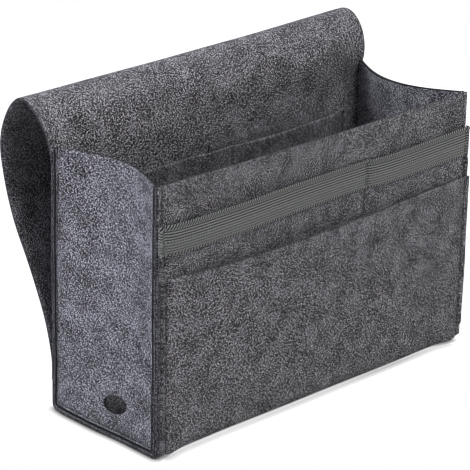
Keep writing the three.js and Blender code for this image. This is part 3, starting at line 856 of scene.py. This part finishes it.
def cut_cable_hole(points, quads, cloth, grid, bow):
    """Cuts the oval hole: the quads round it give way to rings that run from their border to the oval."""
    centre = np.array([FRONT_Y + HOLE_FROM_FRONT, HOLE_CENTRE_Z])
    y, z = points[grid[0], 1], points[grid[:, grid.shape[1] // 2], 2]
    c0, c1 = (np.searchsorted(y, centre[0] + sign * HOLE_REACH[0]) for sign in (-1, 1))
    r0, r1 = (np.searchsorted(z, centre[1] + sign * HOLE_REACH[1]) for sign in (-1, 1))
    block = grid[r0: r1 + 1, c0: c1 + 1]
    loop = np.concatenate([block[0, :-1], block[:-1, -1], block[-1, :0:-1], block[:0:-1, 0]])
    keep = ~np.isin(quads, block).all(axis=1)
    from_centre = points[loop, 1:] - centre
    angle = np.arctan2(from_centre[:, 1], from_centre[:, 0]) + HOLE_TILT
    radius = 1 / np.hypot(np.cos(angle) / (HOLE_LENGTH / 2), np.sin(angle) / (HOLE_HEIGHT / 2))
    size = np.hypot(*from_centre.T)
    oval = from_centre / size[:, None] * radius[:, None]
    points, quads, cloth = [points], [quads[keep]], [cloth]
    ring, made = loop, len(points[0])
    for share in HOLE_RING_SHARES:
        at = centre + from_centre + (oval - from_centre) * share
        points.append(np.column_stack([side_x(*at.T, -1, bow), at]))
        cloth.append(at)
        after = made + np.arange(len(loop))
        quads.append(ring_quads(ring, after))
        ring, made = after, made + len(loop)
    return np.concatenate(points), np.concatenate(quads), np.concatenate(cloth)


def drop_loose_points(points, quads, cloth):
    used = np.unique(quads)
    place = np.full(len(points), -1)
    place[used] = np.arange(len(used))
    return points[used], place[quads], cloth[used]


def make_gussets():
    for place, side, bow in (("left", -1, LEFT_BOW), ("right", 1, RIGHT_BOW)):
        points, quads, cloth, grid = gusset_surface(side, bow)
        if side < 0:
            points, quads, cloth = cut_cable_hole(points, quads, cloth, grid, bow)
        points, quads, cloth = drop_loose_points(points, quads, cloth)
        # Painted light: the sides wear the lighter, bluer copy of the felt.
        piece = build_sheet(
            f"{place}_side", settle(points), quads, cloth + SIDE_SHIFT * (side, 1), FELT, FELT_SIDE_PAINTED_LIGHT,
            edge_dark=SIDE_EDGE_DARK,
        )
        lay(piece, f"{place}_gusset")


# Pockets

def bulge_share(x, left, right, skew):
    return np.sin(math.pi * ramp(left, right, x) ** skew)


def bulge_fade(z, top):
    return ramp(FRONT_BEND_RADIUS, top, z) ** 1.5


def middle_bulge(x, z):
    own = MIDDLE_MOUTH_BULGE * bulge_share(x, LEFT_SEAM_X, DIVIDER_X, MIDDLE_BULGE_SKEW)
    own += RIGHT_MOUTH_BULGE * bulge_share(x, DIVIDER_X, RIGHT_SEAM_X, MIDDLE_BULGE_SKEW)
    return np.maximum(own * bulge_fade(z, MIDDLE_POCKET_TOP), front_sway(x, z)) + edge_flare(x, z)


def outer_bulge(x, z):
    own = OUTER_MOUTH_BULGE * bulge_share(x, LEFT_SEAM_X, RIGHT_SEAM_X, OUTER_BULGE_SKEW)
    flare = OUTER_RIGHT_FLARE * ramp(RIGHT_SEAM_X, HALF_WIDTH, x)
    return np.maximum(own * bulge_fade(z, OUTER_POCKET_TOP), middle_bulge(x, z)) + flare


def edge_flare(x, z):
    """The raw ends of the middle pocket and the webbing stand off the wall, outside the seam."""
    left = LEFT_EDGE_FLARE * ramp(LEFT_SEAM_X, -HALF_WIDTH, x)
    right = RIGHT_EDGE_FLARE * ramp(RIGHT_SEAM_X, HALF_WIDTH, x)
    return (left + right) * smooth(*FLARE_GROWS, z)


def front_panel(top, standoff, bulge, places):
    """Grid of points of a pocket on the front, down the wall and round a part of the bend."""
    reach = standoff + CUT_THICKNESS / 2
    x = np.array(places)
    rows, cloth = [], []

    def add_row(y, z, length):
        rows.append(as_rows(x, y, z))
        cloth.append(as_rows(x, length))

    for z in ticks(top, FRONT_BEND_RADIUS, SPACING)[:-2]:
        add_row(FRONT_Y - reach - bulge(x, z), z, top - z)
    radius = front_radius(x)
    corner = smooth(POCKET_CORNER_WIDTH, 0, HALF_WIDTH - np.abs(x))
    end = POCKET_END_HEIGHT + (POCKET_CORNER_HEIGHT - POCKET_END_HEIGHT) * corner
    turn = np.arcsin(np.clip((radius - end) / (radius + reach), 0, 1))
    whole = FRONT_BEND_RADIUS - np.maximum(radius, end) + (radius + reach) * turn
    for share in POCKET_BEND_SHARES:
        y, z = bend_path(share * whole, radius, reach)
        add_row(y, z, top - FRONT_BEND_RADIUS + share * whole)
    return np.concatenate(rows), grid_quads(len(rows), len(x)), np.concatenate(cloth)


def seam_dent(points, seams, low=0, high=HEIGHT):
    """How deep stitches press into the felt, near each seam's x place and between two heights."""
    x, _, z = points.T
    dent = np.zeros(len(points))
    for seam in seams:
        dent = np.maximum(dent, GROOVE_DEPTH * fade(x - seam, GROOVE_HALF_WIDTH))
    return dent * smooth(low - 2, low, z) * smooth(high + 2, high, z)


def make_front_pocket(name, node, panel, shift, dent):
    """A pocket on the front. Its left end is darker, from the seam to the raw edge."""
    points, quads, cloth = panel
    extra_dark = POCKET_END_DARK * smooth(*POCKET_END_DARK_SPAN, points[:, 0] + HALF_WIDTH)
    piece = build_sheet(
        name, settle(points), quads, cloth + shift, FELT, FELT_BODY, dent=dent, extra_dark=extra_dark
    )
    lay(piece, node)


def make_front_pockets():
    places = ticks(-HALF_WIDTH, HALF_WIDTH, SPACING, FRONT_SEAMS)
    panel = front_panel(MIDDLE_POCKET_TOP, GAP, middle_bulge, places)
    points = panel[0]
    dent = np.maximum(
        seam_dent(points, OUTER_SEAMS, OUTER_POCKET_TOP, WEBBING_BOTTOM),
        seam_dent(points, [DIVIDER_X], OUTER_POCKET_TOP - DIVIDER_BELOW_MOUTH, WEBBING_BOTTOM),
    )
    end = smooth(HALF_WIDTH - OVERHANG_WIDTH, HALF_WIDTH, points[:, 0])
    points[:, 0] += MIDDLE_OVERHANG * end * smooth(*OVERHANG_GROWS, points[:, 2])
    make_front_pocket("middle_pocket", "middle_pocket_panel", panel, MIDDLE_SHIFT, dent)

    places = ticks(-HALF_WIDTH, HALF_WIDTH + OUTER_OVERHANG, SPACING, OUTER_SEAMS)
    panel = front_panel(OUTER_POCKET_TOP, LAYER + GAP, outer_bulge, places)
    dent = seam_dent(panel[0], OUTER_SEAMS)
    make_front_pocket("outer_pocket", "outer_pocket_panel", panel, OUTER_SHIFT, dent)


def make_webbing():
    """Tape with ribs along its upper half and a raised edge. Its ends turn round the raw ends of
    the middle pocket."""
    seams = (WEBBING_SEAM_X, DIVIDER_X, RIGHT_SEAM_X)
    corner = WEBBING_THICKNESS / 2 + WEBBING_TURN_RADIUS
    end_x = HALF_WIDTH + WEBBING_END_GAP + WEBBING_THICKNESS / 2
    flat = ticks(corner - end_x, end_x - corner, SPACING, seams)
    turn = np.linspace(0, math.pi / 2, 6)[1:]
    back = [WEBBING_RETURN / 2, WEBBING_RETURN - EDGE_LINE, WEBBING_RETURN]
    far_x = np.concatenate([end_x - corner + corner * np.sin(turn), [end_x] * len(back)])
    far_y = np.concatenate([corner - corner * np.cos(turn), corner + np.array(back)])
    x = np.concatenate([-far_x[::-1], flat, far_x])
    x -= WEBBING_RIGHT_INSET * smooth(*WEBBING_INSET_GROWS, x)
    set_back = np.concatenate([far_y[::-1], np.zeros(len(flat)), far_y])
    run = running(np.hypot(np.diff(x), np.diff(set_back)))
    heights = ticks(WEBBING_TOP, WEBBING_BOTTOM, WEBBING_GRID)
    px, z = np.meshgrid(x, heights)
    face = FRONT_Y - LAYER - GAP - WEBBING_THICKNESS / 2
    y = face - middle_bulge(np.clip(px, -HALF_WIDTH, HALF_WIDTH), z) + set_back
    points = as_rows(px, y, z)
    height = points[:, 2] - WEBBING_BOTTOM
    share = LOW_RIB_SHARE + (1 - LOW_RIB_SHARE) * smooth(*RIBS_GROW, height)
    ribs = RIB_RISE * np.sin(height * 2 * math.pi / RIB_PITCH) * share
    selvedge = SELVEDGE_RISE * fade(height - SELVEDGE_HEIGHT, SELVEDGE_HALF_WIDTH)
    # Rib troughs are dents too, so they are darkened as painted shade.
    dent = seam_dent(points, seams) * WEBBING_GROOVE_SHARE
    dent += END_GROOVE_DEPTH * fade(points[:, 0] - WEBBING_SEAM_X, END_GROOVE_HALF_WIDTH) - ribs - selvedge
    tape = as_rows(np.tile(run, len(heights)), height)
    quads = grid_quads(len(heights), len(x))
    piece = build_sheet("webbing", settle(points), quads, tape, WEBBING_THICKNESS, WEBBING, dent=dent)
    lay(piece, "pocket_webbing")


def low_pocket_standoff(x, z):
    """How far the near face of the low inner pocket stands off the back wall."""
    left, right = TALL_POCKET[0][0], TALL_POCKET[1][0]
    rise = smooth(left - LOW_POCKET_STEP_WIDTH, left - GAP, x)
    fall = 1 - smooth(right + GAP, right + LOW_POCKET_STEP_WIDTH, x)
    low, high = LOW_POCKET[0][2], LOW_POCKET[1][2]
    left, middle, right = INNER_SEAMS
    swell = RIGHT_INNER_BULGE * bulge_share(x, middle, right, RIGHT_INNER_SKEW)
    swell += LEFT_INNER_BULGE * bulge_share(x, left, middle, 1)
    return GAP + LAYER * np.minimum(rise, fall) + swell * ((z - low) / (high - low)) ** 3


def make_inner_pocket(name, node, box, standoff, seams, shift, edge_dark):
    low, high = box
    places = ticks(low[0], high[0], SPACING, seams)
    heights = ticks(high[2], low[2], SPACING)
    x, z = np.meshgrid(places, heights)
    y = BACK_Y - CUT_THICKNESS - standoff(x, z) - CUT_THICKNESS / 2
    points = as_rows(x, y, z)
    # Painted shade darkens the pocket's face.
    piece = build_sheet(
        name, settle(points), grid_quads(*x.shape), as_rows(x, high[2] - z) + shift, FELT, FELT_BODY,
        dent=seam_dent(points, seams), extra_dark=INNER_POCKET_PAINTED_SHADE, edge_dark=edge_dark,
    )
    lay(piece, node)


def make_inner_pockets():
    make_inner_pocket(
        "inner_tall", "inner_pocket_tall", TALL_POCKET, lambda x, z: GAP + 0 * x, (), TALL_SHIFT,
        RAW_EDGE_DARK,
    )
    make_inner_pocket(
        "inner_low", "inner_pocket_low", LOW_POCKET, low_pocket_standoff, INNER_SEAMS, LOW_SHIFT,
        LOW_POCKET_EDGE_DARK,
    )


# Stitches

def stitch_tree():
    """Stitches along a guide line, each a short arch of thread whose ends dip into the felt."""
    tree = bpy.data.node_groups.new("stitches", "GeometryNodeTree")
    sockets = [("Geometry", "Geometry"), ("Thread", "Material")]
    sockets += [(name, "Float") for name in ("Pitch", "Stitch length", "Thread radius", "Arch")]
    for name, kind in sockets:
        tree.interface.new_socket(name, in_out="INPUT", socket_type=f"NodeSocket{kind}")
    tree.interface.new_socket("Geometry", in_out="OUTPUT", socket_type="NodeSocketGeometry")
    given = tree.nodes.new("NodeGroupInput").outputs

    def made(kind, inputs=None, **settings):
        return add_node(tree, kind, inputs, **settings).outputs[0]

    line = made("GeometryNodeMeshToCurve", {"Mesh": given["Geometry"]})
    marks = made("GeometryNodeResampleCurve", {"Curve": line, "Length": given["Pitch"]}, mode="LENGTH")
    half = math_node(tree, "MULTIPLY", given["Stitch length"], 0.5)
    back = math_node(tree, "MULTIPLY", half, -1)
    dip = math_node(tree, "MULTIPLY", given["Arch"], -1)
    start = made("ShaderNodeCombineXYZ", {"X": back, "Z": dip})
    top = made("ShaderNodeCombineXYZ", {"Z": given["Arch"]})
    end = made("ShaderNodeCombineXYZ", {"X": half, "Z": dip})
    arch = made(
        "GeometryNodeCurveQuadraticBezier", {"Resolution": 5, "Start": start, "Middle": top, "End": end}
    )
    ring = made("GeometryNodeCurvePrimitiveCircle", {"Resolution": 6, "Radius": given["Thread radius"]})
    stitch = made("GeometryNodeCurveToMesh", {"Curve": arch, "Profile Curve": ring, "Fill Caps": True})
    tangent = made("GeometryNodeInputTangent")
    out = made("GeometryNodeInputNamedAttribute", {"Name": "out"}, data_type="FLOAT_VECTOR")
    ahead = made("FunctionNodeAlignRotationToVector", {"Vector": tangent}, axis="X")
    upright = made(
        "FunctionNodeAlignRotationToVector", {"Rotation": ahead, "Vector": out}, axis="Z", pivot_axis="X"
    )
    placed = made(
        "GeometryNodeInstanceOnPoints", {"Points": marks, "Instance": stitch, "Rotation": upright}
    )
    real = made("GeometryNodeRealizeInstances", {"Geometry": placed})
    finished = made("GeometryNodeSetMaterial", {"Geometry": real, "Material": given["Thread"]})
    tree.links.new(finished, tree.nodes.new("NodeGroupOutput").inputs[0])
    return tree


STITCHES = stitch_tree()


def sew(name, node, line, out=TO_FRONT, pitch=STITCH_PITCH):
    """Sews along a line of points on the felt, with out the way off the felt."""
    line = settle(np.array(line, float)) * MM
    guide = bpy.data.meshes.new(name + "_guide")
    guide.from_pydata(line.tolist(), [(k, k + 1) for k in range(len(line) - 1)], [])
    guide.attributes.new("out", "FLOAT_VECTOR", "POINT").data.foreach_set("vector", out * len(line))
    piece = add_object(name, guide)
    modifier = piece.modifiers.new("stitches", "NODES")
    modifier.node_group = STITCHES
    values = {
        "Pitch": pitch * MM,
        "Stitch length": STITCH_LENGTH * MM,
        "Thread radius": THREAD_WIDTH / 2 * MM,
        "Arch": STITCH_ARCH * MM,
        "Thread": THREAD,
    }
    for socket in STITCHES.interface.items_tree:
        if socket.in_out == "INPUT" and socket.name in values:
            modifier[socket.identifier] = values[socket.name]
    bpy.context.view_layer.update()
    evaluated = piece.evaluated_get(bpy.context.evaluated_depsgraph_get())
    sewn = bpy.data.meshes.new_from_object(evaluated)
    piece.modifiers.clear()
    piece.data = sewn
    sewn.name = name
    sewn.shade_smooth()
    wear(piece, node)


def front_face(x, z, layer):
    """Place (y) of the outer face of a layer on the front wall, at the bottom of the stitch groove."""
    faces = {
        "wall": -front_sway(x, z),
        "middle": -LAYER - middle_bulge(x, z),
        "webbing": -LAYER - GAP - WEBBING_THICKNESS - middle_bulge(x, z),
        "outer": -2 * LAYER - outer_bulge(x, z),
    }
    return FRONT_Y + float(faces[layer]) + GROOVE_DEPTH


def down_the_front(seam_x, spans):
    """Line of points down the front, over layers that each cover a span of heights."""
    line = []
    for layer, top, bottom in spans:
        x = WEBBING_SEAM_X if layer == "webbing" and seam_x == LEFT_SEAM_X else seam_x
        for z in np.linspace(top, bottom, max(2, round((top - bottom) / SEAM_SPACING))):
            line.append((x, front_face(x, z, layer), z))
    return line


def rear_lean(x, z):
    """How far the top of the back wall leans to the back at x, as the flap pulls it."""
    along, y, height, _ = flap_profile(-x / HALF_WIDTH)
    if z < height[0]:
        return 0.0
    rising = along < FLAP_RUN_LENGTHS[0] + REAR_SEAM_REACH
    return float(np.interp(z, height[rising], y[rising])) - (BACK_Y - CUT_THICKNESS / 2)


def sew_front_and_rear_seams():
    for side, x in zip(("left", "right"), OUTER_SEAMS):
        line = down_the_front(x, [
            ("wall", HEIGHT - SEAM_TOP_MARGIN, WEBBING_TOP + STEP_MARGIN),
            ("webbing", WEBBING_TOP - EDGE_MARGIN, WEBBING_BOTTOM + EDGE_MARGIN),
            ("middle", WEBBING_BOTTOM - STEP_MARGIN, OUTER_POCKET_TOP + STEP_MARGIN),
            ("outer", OUTER_POCKET_TOP - EDGE_MARGIN, POCKET_CORNER_HEIGHT + STEP_MARGIN),
        ])
        sew(f"seam_front_{side}", f"front_{side}_seam", line)
        heights = np.linspace(HEIGHT - SEAM_TOP_MARGIN, TIGHT_BEND_RADIUS, WALL_SEAM_POINTS)
        line = [(x, BACK_Y + rear_lean(x, z) - GROOVE_DEPTH + WALL_THREAD_RISE, z) for z in heights]
        sew(f"seam_rear_{side}", f"rear_{side}_seam", line, TO_BACK)


def sew_pocket_stitches():
    line = down_the_front(DIVIDER_X, [
        ("webbing", WEBBING_TOP - SEAM_TOP_MARGIN, WEBBING_BOTTOM + EDGE_MARGIN),
        ("middle", WEBBING_BOTTOM - STEP_MARGIN, OUTER_POCKET_TOP - DIVIDER_HIDDEN),
    ])
    sew("stitch_divider", "pocket_divider_stitch", line)
    z = WEBBING_BOTTOM + WEBBING_STITCH_HEIGHT
    for side, left, right in zip(("left", "right"), FRONT_SEAMS, FRONT_SEAMS[1:]):
        places = np.arange(left + SPACING, right - SEAM_TOP_MARGIN, SPACING)
        line = [(x, front_face(x, z, "webbing") - GROOVE_DEPTH + TAPE_THREAD_RISE, z) for x in places]
        sew(f"stitch_webbing_{side}", f"webbing_stitch_{side}", line, pitch=WEBBING_STITCH_PITCH)
    low, high = (corner[2] for corner in LOW_POCKET)
    heights = np.linspace(high - SEAM_TOP_MARGIN, low + SEAM_TOP_MARGIN, INNER_SEAM_POINTS)
    for place, x in zip(("left", "middle", "right"), INNER_SEAMS):
        faces = BACK_Y - CUT_THICKNESS - low_pocket_standoff(x, heights) - CUT_THICKNESS
        line = as_rows(x, faces + GROOVE_DEPTH - WALL_THREAD_RISE, heights)
        sew(f"stitch_inner_{place}", f"inner_stitch_{place}", line)


make_strip()
make_gussets()
make_front_pockets()
make_webbing()
make_inner_pockets()
sew_front_and_rear_seams()
sew_pocket_stitches()


# Stage: camera, light and floor

PHOTO_PIXELS = 470
FOCAL_PIXELS = 2548.9
SENSOR = 36
CAMERA_PLACE = (-1.3830, -1.3942, 0.9137)
CAMERA_AZIMUTH = math.radians(44.101)
CAMERA_DIP = math.radians(21.876)
CAMERA_ROLL = math.radians(1.213)


def make_camera():
    data = bpy.data.cameras.new("camera")
    data.sensor_width = SENSOR
    data.lens = FOCAL_PIXELS / PHOTO_PIXELS * SENSOR
    data.clip_end = 30
    camera = add_object("camera", data)
    camera.matrix_world = Matrix.Translation(CAMERA_PLACE)
    turns = ((-CAMERA_AZIMUTH, "Z"), (math.pi / 2 - CAMERA_DIP, "X"), (CAMERA_ROLL, "Z"))
    for turn, axis in turns:
        camera.matrix_world = camera.matrix_world @ Matrix.Rotation(turn, 4, axis)
    bpy.context.scene.camera = camera


# Soft lamps round the object: name, azimuth from the back towards the right, height, power, color
LAMP_DISTANCE = 2.2
LAMP_SIZE = 1.2
LAMP_TARGET = Vector((0, 0, 0.12))
COOL = (0.95, 0.97, 1.08)
FRESH = (0.985, 0.99, 1.03)
PLAIN = (1.0, 0.985, 0.97)
LAMPS = [
    ("left_back", -60, 30, 26.8, COOL),
    ("left_high", -95, 65, 2.4, COOL),
    ("front_low", 180, 10, 6.1, PLAIN),
    ("front_high", 180, 65, 24.0, FRESH),
    ("right_back", 60, 60, 1.8, COOL),
]

# Floor and surroundings
WHITE = (1, 1, 1, 1)
WORLD_LIGHT = (0.9, 0.94, 1.0, 1)
WORLD_STRENGTH = 0.02
FLOOR_REACH = 4
FLOOR_Z = -0.0006
# Painted contact shadow: the floor's glow is dimmed by ambient occlusion near the caddy's foot.
PAINTED_SHADOW_REACH = 0.0055
PAINTED_SHADOW_CONTRAST = 1.9


def add_lamp(name, azimuth, height, power, color):
    data = bpy.data.lights.new(name, "AREA")
    data.shape = "DISK"
    data.size = LAMP_SIZE
    data.energy = power
    data.color = color
    lamp = add_object(name, data)
    a, h = math.radians(azimuth), math.radians(height)
    way = Vector((math.sin(a) * math.cos(h), math.cos(a) * math.cos(h), math.sin(h)))
    lamp.location = LAMP_TARGET + way * LAMP_DISTANCE
    lamp.rotation_euler = (-way).to_track_quat("-Z", "Y").to_euler()


def show_as(tree, output_kind, lit, shown):
    """Light meets the first shader. The camera, a reflection and glass see the second one."""
    path = add_node(tree, "ShaderNodeLightPath").outputs
    direct = math_node(tree, "MAXIMUM", path["Is Camera Ray"], path["Is Glossy Ray"])
    direct = math_node(tree, "MAXIMUM", direct, path["Is Transmission Ray"])
    mix = add_node(tree, "ShaderNodeMixShader", {0: direct, 1: lit.outputs[0], 2: shown.outputs[0]})
    add_node(tree, output_kind, {0: mix.outputs[0]})


def make_world():
    world = bpy.data.worlds.new("studio")
    bpy.context.scene.world = world
    world.use_nodes = True
    tree = world.node_tree
    tree.nodes.clear()
    light = add_node(tree, "ShaderNodeBackground", {"Color": WORLD_LIGHT, "Strength": WORLD_STRENGTH})
    white = add_node(tree, "ShaderNodeBackground", {"Color": WHITE, "Strength": 1})
    show_as(tree, "ShaderNodeOutputWorld", light, white)


def make_floor():
    """White for the camera, with a painted contact shadow: darker only where the caddy's foot comes near
    it.
    """
    corners = [(x * FLOOR_REACH, y * FLOOR_REACH, FLOOR_Z) for x, y in ((-1, -1), (1, -1), (1, 1), (-1, 1))]
    mesh = bpy.data.meshes.new("floor")
    mesh.from_pydata(corners, [], [(0, 1, 2, 3)])
    material, tree = new_material("white_floor")
    tree.nodes.clear()
    matt = add_node(tree, "ShaderNodeBsdfDiffuse", {"Color": (0.5, 0.5, 0.5, 1)})
    # Painted shadow: ambient occlusion darkens the glow that the camera sees.
    near = add_node(tree, "ShaderNodeAmbientOcclusion", {"Distance": PAINTED_SHADOW_REACH}, samples=8)
    shade = math_node(tree, "POWER", near.outputs["AO"], PAINTED_SHADOW_CONTRAST)
    shown = add_node(tree, "ShaderNodeEmission", {"Color": WHITE, "Strength": shade})
    show_as(tree, "ShaderNodeOutputMaterial", matt, shown)
    mesh.materials.append(material)
    add_object("floor", mesh)


make_camera()
for lamp in LAMPS:
    add_lamp(*lamp)
make_world()
make_floor()
bpy.context.scene.view_settings.view_transform = "Standard"
bpy.context.scene.cycles.filter_width = 1.0
